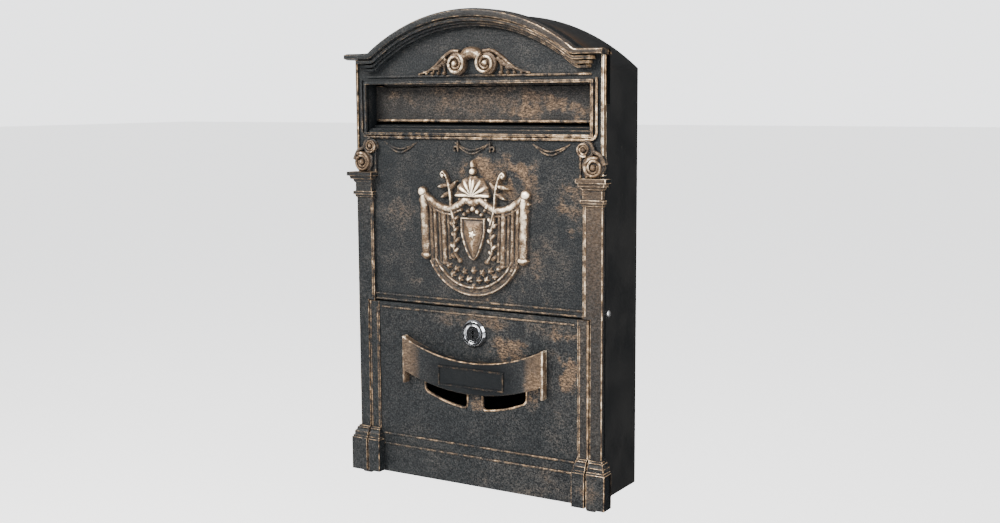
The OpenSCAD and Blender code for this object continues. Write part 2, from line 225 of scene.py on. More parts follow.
def bar(width, front, back=PANEL_BACK, radius=0.45):
    """Profile of a flat moulding, its front edges round."""
    half = width / 2
    return fillet([(-half, back), (-half, front), (half, front), (half, back)], radius)


def roll(width, front, back=PANEL_BACK):
    """Profile of a half-round moulding."""
    half = width / 2
    turns = np.linspace(math.pi, 0, 9)
    rise = min(half, back - front)
    crown = [(half * math.cos(a), front + rise * (1 - math.sin(a))) for a in turns]
    return np.array([(-half, back)] + crown + [(half, back)])


def block(low, high, radius=0.45):
    """A block with round edges: points on a box, pushed out to its rounded surface."""
    low, high = np.array(low, float), np.array(high, float)
    radius = min(radius, 0.45 * (high - low).min())
    near = [0, radius * (1 - math.tan(math.pi / 8)), radius, radius + 0.4]
    stops = []
    for start, end in zip(low, high):
        kept = [d for d in near if d < (end - start) / 2]
        stops.append([start + d for d in kept] + [end - d for d in reversed(kept)])
    counts = [len(stop) for stop in stops]
    index, points, faces = {}, [], []

    def corner(*key):
        if key not in index:
            index[key] = len(points)
            point = np.array([stops[axis][key[axis]] for axis in range(3)])
            inner = np.clip(point, low + radius, high - radius)
            points.append(inner + unit(point - inner) * radius)
        return index[key]

    for axis in range(3):
        u, v = (axis + 1) % 3, (axis + 2) % 3
        for end in (0, counts[axis] - 1):
            for i in range(counts[u] - 1):
                for j in range(counts[v] - 1):
                    ring = []
                    for di, dj in ((0, 0), (1, 0), (1, 1), (0, 1)):
                        key = [0, 0, 0]
                        key[axis], key[u], key[v] = end, i + di, j + dj
                        ring.append(corner(*key))
                    faces.append(tuple(ring) if end else tuple(reversed(ring)))
    return np.array(points), faces


def pillar(levels, back=PANEL_BACK, radius=0.45):
    """Stacked rounded rectangles. Each level is (z, inner x, outer x, front y)."""
    rings = fillet(levels, 0.3, closed=False, support=0.3)
    shallowest = back - max(level[3] for level in levels)
    support = np.clip(0.45 * (shallowest - 0.4) - radius, 0.05, 0.4)
    outlines = []
    for z, x0, x1, front in rings:
        outline = fillet([(x0, back), (x0, front), (x1, front), (x1, back)], radius, support=support)
        outlines.append(np.column_stack([outline[:, 0], outline[:, 1], np.full(len(outline), z)]))
    return np.concatenate(outlines), tube_faces(len(outlines), len(outlines[0]), False)


def lathe(profile, centre, steps=48):
    """Turns a line of (radius, y) about an axis along y. Both ends of the line have radius 0."""
    x, z = centre
    first, last = profile[0], profile[-1]
    middle = np.asarray(profile[1:-1], float)
    turns = whole_turn(steps)
    rings = [np.column_stack([x + r * np.cos(turns), np.full(steps, y), z + r * np.sin(turns)])
             for r, y in middle]
    points = np.concatenate([[(x, first[1], z)]] + rings + [[(x, last[1], z)]])
    faces = [tuple(1 + i for i in face) for face in tube_faces(len(middle), steps, False)[:-2]]
    tail = len(points) - 1
    start = tail - steps
    for j in range(steps):
        after = (j + 1) % steps
        faces.append((0, 1 + after, 1 + j))
        faces.append((tail, start + j, start + after))
    return points, faces


def ball(centre, front, radius, back=PANEL_BACK, steps=24):
    """A boss with a round front, down to its back plane."""
    turns = np.linspace(0, math.pi / 2, 7)
    rise = min(radius, back - front)
    profile = [(radius * math.sin(a), front + rise * (1 - math.cos(a))) for a in turns]
    return lathe(profile + [(radius, back), (0, back)], centre, steps)


def arc(centre, radius, start, end, steps):
    """Points of an arc, its ends given in degrees."""
    turns = np.radians(np.linspace(start, end, steps))
    return np.column_stack([centre[0] + radius * np.cos(turns), centre[1] + radius * np.sin(turns)])


def spiral(centre, outer, inner, start, turns, steps=44):
    """Points of a spiral from its outer end in, start in degrees. Negative turns go clockwise."""
    t = np.linspace(0, 1, steps)
    angle = math.radians(start) + 2 * math.pi * turns * t
    radius = outer + (inner - outer) * t
    return np.column_stack([centre[0] + radius * np.cos(angle), centre[1] + radius * np.sin(angle)])


def curve(points, steps):
    """A smooth line through a few points."""
    points = np.asarray(points, float)
    padded = np.concatenate([[2 * points[0] - points[1]], points, [2 * points[-1] - points[-2]]])
    done = []
    for i in range(len(points) - 1):
        a, b, c, d = padded[i:i + 4]
        for t in np.linspace(0, 1, steps, endpoint=False):
            done.append(0.5 * (2 * b + (c - a) * t + (2 * a - 5 * b + 4 * c - d) * t * t
                               + (3 * b - a - 3 * c + d) * t ** 3))
    return np.array(done + [points[-1]])


def volute(centre, radius, start, turns, front):
    """A scroll: a disc, a round ridge coiled on it with a groove between, and a boss in its eye."""
    ridge = radius * 0.13
    path = spiral(centre, radius - ridge, radius * 0.36, start, turns)
    groove = front + 0.5 * (PANEL_Y - front)
    disc = lathe([(0, groove), (radius * 0.8, groove), (radius * 0.95, groove + 0.7),
                  (radius * 0.97, PANEL_BACK), (0, PANEL_BACK)], centre)
    coil = sweep(path, roll(2 * ridge, front + 0.6), np.linspace(1, 0.8, len(path)))
    return [disc, coil, ball(centre, front, radius * 0.27)]


def taper(line, width, front, start, end):
    """A half-round moulding along a line, its size going from start to end."""
    return sweep(line, roll(width, front), np.linspace(start, end, len(line)))


def grid_quads(grid):
    """The faces between the points of a grid."""
    quads = np.stack([grid[:-1, :-1], grid[:-1, 1:], grid[1:, 1:], grid[1:, :-1]], axis=-1)
    return quads.reshape(-1, 4)


def grid_rim(grid):
    """The border of a grid, once round."""
    return np.concatenate([grid[0, :-1], grid[:-1, -1], grid[-1, :0:-1], grid[:0:-1, 0]])


def relief(x_range, z_range, step, height, back):
    """A raised patch: its front follows a height above the panel and dips under it at the rim."""
    xs = np.arange(x_range[0], x_range[1] + step / 2, step)
    zs = np.arange(z_range[0], z_range[1] + step / 2, step)
    x, z = np.meshgrid(xs, zs)
    front = PANEL_Y + 0.25 - height(x, z)
    rows, columns = x.shape
    top = np.column_stack([x.ravel(), front.ravel(), z.ravel()])
    grid = np.arange(rows * columns).reshape(rows, columns)
    rim = grid_rim(grid)
    under = top[rim].copy()
    under[:, 1] = back
    base = len(top)
    faces = [tuple(quad) for quad in grid_quads(grid)]
    for i in range(len(rim)):
        j = (i + 1) % len(rim)
        faces.append((rim[j], rim[i], base + i, base + j))
    faces.append(tuple(reversed(range(base, base + len(rim)))))
    return np.concatenate([top, under]), faces


def link(name, data):
    obj = bpy.data.objects.new(name, data)
    bpy.context.scene.collection.objects.link(obj)
    return obj


def add_piece(name, mesh, body, material, replaces):
    obj = link(name, mesh)
    mesh.materials.clear()
    mesh.materials.append(material)
    for node in replaces:
        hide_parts(node)
    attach(obj, body)


# Where the dry brush came from, and the direction of the painted light: the edges that face it took the most
# bronze and carry brighter painted highlights
BRUSH_AND_LIGHT_FROM = np.array((0.55, -0.15, 0.82))


def read(items, name, width=1, kind=float):
    """A value of each of a mesh's items, or a row of several."""
    values = np.zeros(len(items) * width, kind)
    items.foreach_get(name, values)
    return values.reshape(-1, width) if width > 1 else values


def edge_rub(mesh):
    """How far each point stands out as a rounded edge, up to 1, or lies in a fold, down to -1.
    A closed mesh has two faces at each edge: it bends by how far their normals part."""
    edge_of = read(mesh.loops, "edge_index", kind=int)
    face_of = np.repeat(np.arange(len(mesh.polygons)), read(mesh.polygons, "loop_total", kind=int))
    sides = face_of[np.argsort(edge_of, kind="stable")].reshape(-1, 2)
    centres, normals = read(mesh.polygons, "center", 3) / MM, read(mesh.polygons, "normal", 3)
    apart = centres[sides[:, 0]] - centres[sides[:, 1]]
    bend = ((normals[sides[:, 0]] - normals[sides[:, 1]]) * apart).sum(1)
    bend /= np.maximum((apart ** 2).sum(1), 0.01)
    # Convex edges are raised more the more they face that direction: part brush wear, part painted highlight
    # for light from the upper right
    facing_brush_and_light = unit(normals[sides[:, 0]] + normals[sides[:, 1]]) @ BRUSH_AND_LIGHT_FROM
    bend *= np.where(bend > 0, np.clip(0.75 + 0.4 * facing_brush_and_light, 0.3, 1.0), 1.0)
    out, fold = np.zeros(len(mesh.vertices)), np.zeros(len(mesh.vertices))
    for end in read(mesh.edges, "vertices", 2, int).T:
        np.maximum.at(out, end, bend)
        np.minimum.at(fold, end, bend)
    rub = np.where(out > -fold, out, fold)
    return rub / (np.abs(rub) + 0.5)


def store(mesh, name, values):
    values = np.broadcast_to(np.float32(values), len(mesh.vertices))
    mesh.attributes.new(name, "FLOAT", "POINT").data.foreach_set("value", values)


def outward(work, mesh):
    """Turns the faces outward and writes them to the mesh."""
    bmesh.ops.recalc_face_normals(work, faces=work.faces)
    work.to_mesh(mesh)
    work.free()


def piece(name, shells, body, slot, material, replaces=(), smooth=38, wear=1.0, gild=0.0):
    """One object from closed shells. The paint follows two stored values: rub, how far an edge
    stands out, times wear, and a second value, how much more or less bronze lies there than
    elsewhere; where it is negative the paint also goes darker and smoother, which in places is
    painted shade, and where it is high it brings in the cream painted highlight. Wear and the
    second value are each a number, or a function of x, y and z."""
    points, faces = [], []
    for shell_points, shell_faces in shells:
        base = sum(len(p) for p in points)
        points.append(shell_points)
        faces += [tuple(base + int(i) for i in face) for face in shell_faces]
    points = np.concatenate(points)
    mesh = bpy.data.meshes.new(name)
    mesh.from_pydata(placed(points).tolist(), [], faces)
    work = bmesh.new()
    work.from_mesh(mesh)
    outward(work, mesh)
    mesh.polygons.foreach_set("use_smooth", [True] * len(mesh.polygons))
    store(mesh, "rub", edge_rub(mesh) * (wear(*points.T) if callable(wear) else wear))
    store(mesh, "gild", gild(*points.T) if callable(gild) else gild)
    mesh.set_sharp_from_angle(angle=math.radians(smooth))
    add_piece(name, mesh, body, material, replaces)


def behind(name, node, front, body, material):
    """The part of a CAD node that lies behind a plane, closed again where it was cut. The
    brush didn't reach its inside, which stays plain."""
    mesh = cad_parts[node].data.copy()
    mesh.name = name
    work = bmesh.new()
    work.from_mesh(mesh)
    bmesh.ops.remove_doubles(work, verts=work.verts, dist=1e-6)
    cut_y = float(placed((0, front, 0))[1])
    cut = bmesh.ops.bisect_plane(
        work, geom=work.verts[:] + work.edges[:] + work.faces[:], dist=1e-7,
        plane_co=placed((0, front, 0)), plane_no=(0, -1, 0), clear_outer=True)
    rim = [e for e in cut["geom_cut"] if isinstance(e, bmesh.types.BMEdge)]
    bmesh.ops.triangle_fill(work, edges=rim, use_beauty=True, use_dissolve=False)
    outward(work, mesh)
    mesh.set_sharp_from_angle(angle=math.radians(30))
    rounded = [abs(face.center.y - cut_y) > 1e-6 for face in mesh.polygons]
    mesh.polygons.foreach_set("use_smooth", rounded)
    depth = [(vertex.co.y - cut_y) / MM for vertex in mesh.vertices]
    store(mesh, "gild", np.interp(depth, [0.5, 1.5], [0.0, -0.9]))
    add_piece(name, mesh, body, material, [node])


# ---- materials

class Graph:
    """Short ways to write the nodes of a material, or of the world."""

    def __init__(self, name, world=False):
        self.owner = (bpy.data.worlds if world else bpy.data.materials).new(name)
        self.owner.use_nodes = True
        self.tree = self.owner.node_tree
        self.shader = self.tree.nodes["Background" if world else "Principled BSDF"]
        self.place = self.node("ShaderNodeTexCoord").outputs["Generated" if world else "Object"]

    def node(self, kind, inputs=None, **settings):
        made = self.tree.nodes.new(kind)
        for key, value in settings.items():
            setattr(made, key, value)
        for key, value in (inputs or {}).items():
            self.feed(made.inputs[key], value)
        return made

    def feed(self, socket, value):
        if isinstance(value, bpy.types.NodeSocket):
            self.tree.links.new(value, socket)
        else:
            socket.default_value = value

    def math(self, operation, a, b=0.0, clamp=False):
        made = self.node("ShaderNodeMath", {0: a, 1: b}, operation=operation, use_clamp=clamp)
        return made.outputs[0]

    def plus(self, a, b):
        return self.math("ADD", a, b)

    def times(self, a, b, clamp=False):
        return self.math("MULTIPLY", a, b, clamp)

    def spread(self, value, factor):
        """A noise about zero, scaled."""
        return self.times(self.math("SUBTRACT", value, 0.5), factor)

    def fit(self, value, low, high, to_low=0.0, to_high=1.0, kind="LINEAR"):
        """Carries the range low to high onto another, and stops at its ends."""
        made = self.node("ShaderNodeMapRange", {
            "Value": value, "From Min": low, "From Max": high, "To Min": to_low, "To Max": to_high},
            interpolation_type=kind)
        return made.outputs[0]

    def step(self, value, low, high):
        """0 at low, 1 at high, smooth between."""
        return self.fit(value, low, high, kind="SMOOTHSTEP")

    def attribute(self, name):
        return self.node("ShaderNodeAttribute", attribute_name=name).outputs["Fac"]

    def stretch(self, factors):
        made = self.node("ShaderNodeMapping", {"Vector": self.place, "Scale": factors})
        return made.outputs[0]

    def noise(self, size, detail=2.0, place=None, rough=0.55):
        """Noise whose features are about size millimetres across."""
        made = self.node("ShaderNodeTexNoise", {
            "Vector": place or self.place, "Scale": 1 / (size * MM), "Detail": detail,
            "Roughness": rough})
        return made.outputs[0]

    def mix(self, share, a, b):
        """Blends two colours: sockets 6, 7 and 2 are the node's colour ones."""
        made = self.node("ShaderNodeMix", {0: share, 6: a, 7: b}, data_type="RGBA")
        return made.outputs[2]

    def bump(self, height, distance, before=None):
        inputs = {"Height": height, "Distance": distance * MM}
        if before is not None:
            inputs["Normal"] = before
        return self.node("ShaderNodeBump", inputs).outputs[0]

    def wire(self, **inputs):
        for key, value in inputs.items():
            self.feed(self.shader.inputs[key.replace("_", " ")], value)
        return self.owner


def rgb(red, green, blue):
    return (red, green, blue, 1.0)


# Places where the brush left more bronze: x, z, half width, half height, strength
BRONZE_PATCHES = [
    (22, 275, 36, 22, 0.75), (48, 262, 22, 30, 0.5), (-8, 268, 30, 20, 0.45), (96, 250, 22, 26, 0.7),
    (60, 326, 34, 16, 0.5), (94, 324, 22, 9, 0.5), (0, 334, 125, 22, 0.7), (0, 232, 130, 80, 0.24),
    (91, 110, 11, 24, 1.0), (34, 124, 26, 14, 0.8), (-6, 146, 60, 9, 0.5), (80, 146, 40, 14, 0.5),
    (60, 98, 12, 16, 0.9), (-66, 104, 8, 22, 0.8), (-80, 236, 26, 40, 0.3), (60, 200, 50, 34, 0.3),
    (0, 172, 100, 10, 0.35), (-95, 178, 14, 22, 0.25), (10, 380, 80, 22, 0.2), (70, 360, 44, 6, 0.4),
    (50, 14, 76, 24, 0.48), (20, 140, 80, 30, 0.25), (118, 14, 22, 28, 0.25), (-118, 12, 20, 26, 0.25),
    (90, 90, 24, 70, 0.35), (0, 74, 9, 9, 0.9), (56, 80, 10, 8, 0.7),
]


def patches(graph):
    """Soft patches of bronze with ragged outlines, added together."""
    spot = graph.node("ShaderNodeSeparateXYZ", {"Vector": graph.place})
    ragged = graph.fit(graph.noise(16, 4, rough=0.65), 0.3, 0.7, 0.75, -0.55)
    total = 0.0
    for x, z, wide, tall, strength in BRONZE_PATCHES:
        centre = placed((x, 0, z))
        squares = []
        for axis, size in ((0, wide), (2, tall)):
            part = graph.math("SUBTRACT", spot.outputs[axis], centre[axis])
            part = graph.math("DIVIDE", part, size * MM)
            squares.append(graph.times(part, part))
        near = graph.step(graph.plus(graph.plus(*squares), ragged), 1.1, 0.1)
        total = graph.plus(graph.times(near, strength), total)
    return total


def cast_paint():
    """Charcoal paint on sand-cast aluminium, dry-brushed with bronze on all that stands out."""
    graph = Graph("cast_paint")
    rub = graph.attribute("rub")
    gild = graph.attribute("gild")
    # Sand grain and bronze dust at full strength where the second value is 0 or more, fading where it is
    # negative; on the side faces, the top of the frame and the sill this darker charcoal is painted shade
    grain_and_shade = graph.math("ADD", gild, 1.0, clamp=True)
    fold = graph.step(rub, -0.08, -0.5)
    across = graph.node("ShaderNodeSeparateXYZ", {"Vector": graph.place}).outputs[0]
    sand = graph.noise(1.15, 3, rough=0.7)
    stroke = graph.noise(1.2, 4, graph.stretch((0.45, 1.0, 1.0)), 0.7)
    blotch = graph.noise(6.0, 3, rough=0.6)

    # Thin bronze left in the sand texture, most of it in patches
    patch = graph.fit(graph.noise(26, 3), 0.35, 0.75, -0.2, 0.3)
    patch = graph.plus(patch, patches(graph))
    haze = graph.plus(graph.times(patch, 0.13), graph.math("MAXIMUM", stroke, sand))
    haze = graph.times(graph.step(haze, 0.5, 0.96), graph.fit(patch, -0.2, 1.1, 0.3, 1.1))
    haze = graph.times(haze, grain_and_shade)

    # Copper and cream on the rubbed edges, and bronze wherever the second stored value lays it; the cream is
    # partly a painted highlight, a glint of light put into the colour on the most rubbed edges and the
    # tallest relief
    side = graph.fit(across, -HALF * MM, HALF * MM, 0.65, 1.0)
    fine = graph.spread(sand, 0.8)
    uneven = graph.plus(graph.spread(blotch, 1.1), fine)
    rubbed = graph.times(graph.times(rub, side), graph.fit(blotch, 0.3, 0.7, 0.3, 1.15))
    worn = graph.step(graph.plus(rubbed, graph.times(fine, 0.5)), 0.12, 0.85)
    worn = graph.times(worn, graph.step(rub, 0.03, 0.3))
    leaf = graph.times(gild, graph.fit(uneven, -0.35, 0.35, 0.5, 1.3), clamp=True)
    leaf = graph.times(leaf, graph.fit(fold, 0.0, 1.0, 1.0, 0.15))
    # Cream: the brightest rubbed bronze, partly a painted highlight
    cream_and_highlight = graph.plus(graph.times(rubbed, 0.85), graph.times(gild, 0.42))
    cream_and_highlight = graph.step(graph.plus(cream_and_highlight, graph.times(uneven, 0.85)), 0.48, 1.12)
    cream_and_highlight = graph.times(cream_and_highlight, graph.math("SUBTRACT", 1.0, fold))

    charcoal = graph.mix(graph.times(graph.step(sand, 0.38, 0.66), grain_and_shade),
                         rgb(0.0016, 0.0023, 0.0030), rgb(0.0122, 0.0140, 0.0150))
    bronze = graph.mix(graph.step(stroke, 0.3, 0.7), rgb(0.045, 0.028, 0.016), rgb(0.19, 0.122, 0.072))
    copper = graph.mix(graph.step(uneven, -0.3, 0.3), rgb(0.18, 0.104, 0.052), rgb(0.56, 0.37, 0.205))
    dusted = graph.mix(graph.step(patch, 0.3, 1.0), rgb(0.095, 0.084, 0.072), bronze)
    colour = graph.mix(haze, charcoal, dusted)
    for share, layer in ((graph.times(leaf, 0.92), bronze), (graph.times(worn, 0.9), copper),
                         (graph.times(cream_and_highlight, 0.92), rgb(0.95, 0.82, 0.63))):
        colour = graph.mix(share, colour, layer)

    painted = graph.math("MAXIMUM", graph.math("MAXIMUM", worn, leaf), graph.times(haze, 0.5))
    skin = graph.bump(painted, 0.06, graph.bump(graph.noise(12, 2), 0.5, graph.bump(sand, 0.3)))
    shine = graph.fit(sand, 0.3, 0.7, 0.5, 0.36)
    graph.shader.inputs["Specular IOR Level"].default_value = 0.12
    return graph.wire(Base_Color=colour, Roughness=shine, Metallic=graph.times(painted, 0.7), Normal=skin)


def sheet_paint():
    """Satin charcoal powder coat on steel sheet, with bronze overspray along the front."""
    graph = Graph("sheet_paint")
    cloud = graph.noise(40, 3)
    dust = graph.step(graph.noise(2.2, 2), 0.73, 0.78)
    spot = graph.node("ShaderNodeSeparateXYZ", {"Vector": graph.place})
    front = placed((0, 14.0, SPRING_Z))
    near = graph.fit(spot.outputs[1], front[1], front[1] + 26 * MM, 1.0, 0.0)
    over = graph.step(spot.outputs[2], front[2] - 8 * MM, front[2] + 20 * MM)
    spray = graph.times(graph.times(near, near), over, clamp=True)
    spray = graph.times(spray, graph.fit(cloud, 0.3, 0.7, 0.5, 1.0))
    colour = graph.mix(graph.step(cloud, 0.3, 0.7), rgb(0.0045, 0.0048, 0.0051), rgb(0.0076, 0.0076, 0.0075))
    colour = graph.mix(graph.times(dust, 0.35), colour, rgb(0.06, 0.05, 0.04))
    colour = graph.mix(spray, colour, rgb(0.030, 0.015, 0.006))
    shine = graph.fit(cloud, 0.3, 0.7, 0.45, 0.58)
    skin = graph.bump(graph.noise(60, 1), 0.5, graph.bump(graph.noise(1.4, 2), 0.05))
    graph.shader.inputs["Specular IOR Level"].default_value = 0.1
    return graph.wire(Base_Color=colour, Roughness=shine, Normal=skin)


def chrome():
    """Bright chrome plate with faint handling marks."""
    graph = Graph("lock_chrome")
    smudge = graph.noise(3.5, 4)
    colour = graph.mix(graph.step(smudge, 0.45, 0.7), rgb(0.42, 0.43, 0.45), rgb(0.24, 0.25, 0.27))
    shine = graph.fit(smudge, 0.3, 0.8, 0.04, 0.2)
    skin = graph.bump(graph.noise(0.7, 2), 0.01)
    graph.shader.inputs["Metallic"].default_value = 1.0
    return graph.wire(Base_Color=colour, Roughness=shine, Normal=skin)


def zinc():
    """Zinc-plated steel with a fine drawn grain and dull patches."""
    graph = Graph("zinc_plate")
    grain = graph.noise(0.5, 3, graph.stretch((0.08, 1.0, 1.0)))
    dull = graph.noise(6, 3)
    colour = graph.mix(graph.step(dull, 0.4, 0.7), rgb(0.56, 0.57, 0.58), rgb(0.36, 0.36, 0.35))
    shine = graph.fit(grain, 0.3, 0.7, 0.25, 0.5)
    graph.shader.inputs["Metallic"].default_value = 1.0
    return graph.wire(Base_Color=colour, Roughness=shine, Normal=graph.bump(grain, 0.02))


CAST = cast_paint()
SHEET = sheet_paint()
CHROME = chrome()
ZINC = zinc()


def cast(name, shells, body="body", **looks):
    """A piece of a painted casting."""
    piece(name, shells, body, "cast_front", CAST, **looks)


# ---- front frame

def arch_line(radius, z_end, x_end):
    """Line of a cornice moulding: out along one ear, over the arch and out along the other."""
    turn = math.degrees(math.asin((z_end - ARCH_MID_Z) / radius))
    over = arc((0, ARCH_MID_Z), radius, 180 - turn, turn, 97)
    left = [(-x, z_end) for x in np.linspace(x_end, over[-1][0] + 1.5, 4)]
    right = [(x, z_end) for x in np.linspace(over[-1][0] + 1.5, x_end, 4)]
    return np.concatenate([left, over[1:-1], right])


def cornice():
    """The arched cornice: an outer roll and three thin ridges that turn out along the ears."""
    full = 8.0  # width of the roll over the arch; it narrows along the ears
    outer = arch_line(CORNICE_R - full / 2, (EAR_TOP + EAR_LOW) / 2, EAR_HALF)
    width = np.clip((103.0 - np.abs(outer[:, 0])) / 6.0, 0, 1) * 2.5 + 5.5
    crown = fillet([(-0.5, 17.0), (-0.5, 1.2), (-0.3, CORNICE_Y), (0.3, CORNICE_Y),
                    (0.5, 0.6), (0.5, PANEL_BACK)], 1.0, steps=4)
    crown[:, 0] *= full
    shells = [sweep(outer, crown, width / full, floor_y=CORNICE_Y)]
    for radius, wide, front, z_end, x_end in (
            (160.1, 2.8, -1.0, 367.6, 114.6), (157.8, 2.4, 1.8, 364.0, 112.6),
            (155.7, 2.3, 4.6, 360.8, 110.6)):
        shells.append(sweep(arch_line(radius, z_end, x_end), bar(wide, front, radius=0.7)))
    return shells


def ear_corners():
    """Square corners below the ears, their side returns, and the raised edge down the frame."""
    top = EAR_LOW + 0.5
    edge = block((HALF - 2.2, 8.0, CAP_Z + 2), (HALF + 0.05, 14.0, top), 0.7)
    return both_sides(
        block((HALF - 14, PANEL_Y + 0.03, SPRING_Z - 4), (HALF, 14.0, top), 0.4),
        block((HALF + 0.15, PANEL_Y - 0.4, SPRING_Z - 30), (HALF + 1.2, 17.4, top), 0.4), edge)


def slot_mouldings():
    """Rim of the mail slot, a second line with round lower corners, and a line above."""
    half, top, bottom = SLOT_HALF + 1.2, SLOT_TOP + 0.9, SLOT_LOW - 1.2
    rim = [(-half, top), (half, top), (half, bottom), (-half, bottom)]
    inner = sweep(rim, bar(2.4, 6.9, 12.0, 0.8), closed=True)
    low, side = SLOT_LOW - 4.2, SLOT_HALF + 5.2
    right = [(side, SLOT_TOP + 3.4)] + list(arc((side - 6, low + 6), 6, 0, -90, 9))
    left = [(-x, z) for x, z in reversed(right)]
    outer = sweep(right + left, bar(1.9, 7.6, 11.0, 0.7))
    above = block((-SLOT_HALF, 8.4, SLOT_TOP + 5.4), (SLOT_HALF, PANEL_BACK, SLOT_TOP + 7.0), 0.6)
    sill = [block((-SLOT_HALF + 0.3, y - 0.6, z - 1.4), (SLOT_HALF - 0.3, y + 0.9, z + 0.5), 0.5)
            for y, z in ((12.6, SLOT_LOW + 2.9), (18.2, SLOT_LOW + 5.2))]
    return [inner, outer, above] + sill


def foot_levels(x_in, z_low, foot_out, shaft_out, top):
    """Levels of a foot, its base mouldings and the shaft above, from the sole up."""
    base = ((0, 0.0), (0.4, 0.9), (1.8, 1.0), (2.2, 2.0), (5.2, 2.0), (7.0, 3.7), (9.0, 3.9), (9.4, 5.1))
    steps = [(z_low, 0.0)] + [(FOOT_H + z, y) for z, y in base]
    steps += [(BASE_Z, BASE_STEP), (BASE_Z + 0.4, REACH_Y), (top, REACH_Y)]
    return [(z, x_in, foot_out + (shaft_out - foot_out) * y / REACH_Y, y) for z, y in steps]


def pilasters():
    """The frame's half of each foot, the shafts, and the moulded capitals."""
    foot = pillar(foot_levels(STRIP_IN + GAP_EASE, 0.0, FOOT_HALF, HALF, DOOR_TOP + 1.2), 13.6)
    shaft = pillar([(z, SHAFT_IN, HALF, SHAFT_Y) for z in (DOOR_TOP + 0.9, CAP_Z - 20)])
    inner_line = block((SHAFT_IN + 1.4, SHAFT_Y - 0.35, DOOR_TOP + 3),
                       (SHAFT_IN + 2.5, SHAFT_Y + 1, CAP_Z - 22), 0.3)
    levels = [(-23, 105, 122.5, 6.9), (-22.2, 104.6, 123.3, 5.6), (-20.4, 104.4, 123.4, 5.4),
              (-19.9, 103.6, 124.8, 4.2), (-17.3, 103.6, 124.8, 4.2), (-16.8, 105.3, 122.8, 5.5),
              (-9.8, 105.3, 122.8, 5.5), (-8.6, 104.6, 124.0, 4.6), (-6.8, 104.2, 124.6, 4.2),
              (-6.2, 103, 126.2, 1.9), (-3.8, 102.8, 126.4, 1.7), (-3.4, 101.5, FOOT_HALF, 0),
              (0, 101.5, FOOT_HALF, 0)]
    cap = pillar([(CAP_Z + z, x0, x1, y) for z, x0, x1, y in levels])
    return both_sides(foot, shaft, inner_line, cap)


def hinge_lugs():
    """Round lugs low on the frame that hold the door's pins."""
    return both_sides(roll_bar(STRIP_IN + 0.1, 117.4, 7, 3, 6.4, 40))


def consoles():
    """Scrolled brackets that stand on the capitals."""
    stem = [(109.0, 1.0), (106.2, 8.0), (106.6, 14.0), (112.0, 18.6), (112.6, 24.0)]
    leaf = [(124.0, 11.0), (120.4, 18.4), (114.6, 21.6), (111.6, 27.4), (106.4, 30.0)]
    stem, leaf = (curve([(x, CAP_Z + z) for x, z in line], 7) for line in (stem, leaf))
    shells = volute((115.0, CAP_Z + 8.8), 9.5, 60, 1.9, 2.6)
    shells += volute((105.8, CAP_Z + 23.0), 6.5, -60, -1.8, 3.6)
    shells += [taper(stem, 4.0, 5.4, 1, 0.7), taper(leaf, 4.4, 4.6, 0.9, 0.6),
               block((101.2, 7.2, CAP_Z - 0.5), (103.0, PANEL_BACK, CAP_Z + 18.5), 0.7),
               block((102.6, 8.6, CAP_Z - 0.5), (111, PANEL_BACK, CAP_Z + 17), 0.5)]
    shells += [ball((108.2 + 2.7 * i, CAP_Z + 2.2 + 0.5 * i), 5.8, 1.6, steps=16) for i in range(3)]
    return both_sides(*shells)


def scroll_pair():
    """Two volutes and a rolled leaf above the slot, with lobed leaf tails to each side."""
    low = SPRING_Z - 3.6
    shells = volute((14.8, SPRING_Z + 4.8), 9.8, 110, 1.6, 1.4)
    brow = [(12.0, 18.4), (20.0, 18.6), (29.0, 13.4), (37.0, 7.0), (45.0, 2.6), (55.0, 0.0)]
    shells.append(taper(curve([(x, low + z) for x, z in brow], 8), 3.4, 4.6, 1.0, 0.35))
    for i in range(4):
        start = (25.2 + 2.6 * i, low + 12.6 - 2.6 * i)
        tip = (28.0 + 6.4 * i, low + 0.6)
        bend = ((start[0] + tip[0]) / 2 + 1.6, (start[1] + tip[1]) / 2 + 1.4)
        shells.append(taper(curve([start, bend, tip], 7), 4.6 - 0.4 * i, 5.2 + 0.5 * i, 1, 0.3))
        shells.append(ball(tip, 6.0 + 0.5 * i, 1.5 - 0.15 * i, steps=16))
    shells = both_sides(*shells)
    leaf = [(-9.4, 12.4), (-4.8, 16.6), (1.4, 17.4), (7.2, 15.0), (10.4, 11.6)]
    leaf = curve([(x, low + z) for x, z in leaf], 8)
    swell = np.sin(np.linspace(0.75, 2.5, len(leaf)))
    shells.append(sweep(leaf, roll(10.0, 1.8), swell))
    shells.append(sweep(leaf[6:-4] + (1.0, 0.6), roll(1.4, 1.1), swell[6:-4]))
    return shells


def swags():
    """Thin hanging swags below the slot, with a small bow in the middle."""
    top = SLOT_LOW - 8.0
    shells = []
    for middle in (-76, -2, 74):
        for drop, front in ((6.2, 8.6), (9.2, 8.3)):
            hang = [(-17, 0), (-8, -0.72), (0, -1), (9, -0.66), (18, 0)]
            line = curve([(middle + x, top + drop * z) for x, z in hang], 8)
            shells.append(sweep(line, roll(1.5, front), np.sin(np.linspace(0.35, 2.8, len(line)))))
    for x, turn in ((16.5, 1), (-15.5, -1)):
        shells.append(sweep([(x, top + 1.5), (x, top - 7.5)], roll(2.0, 7.0), [1, 0.7]))
        curl = spiral((x + 2.6 * turn, top - 5.4), 2.6, 1.0, 90 + 90 * turn, -0.8 * turn, 20)
        shells.append(sweep(curl, roll(1.6, 7.6)))
    return shells


def border_lines():
    """Two thin lines across the foot of the frame's panel."""
    return [block((-SHAFT_IN - 0.2, 8.7, z), (SHAFT_IN + 0.2, PANEL_BACK, z + LINE_TALL), 0.6)
            for z in (DOOR_TOP + 1.6, DOOR_TOP + 6.0)]


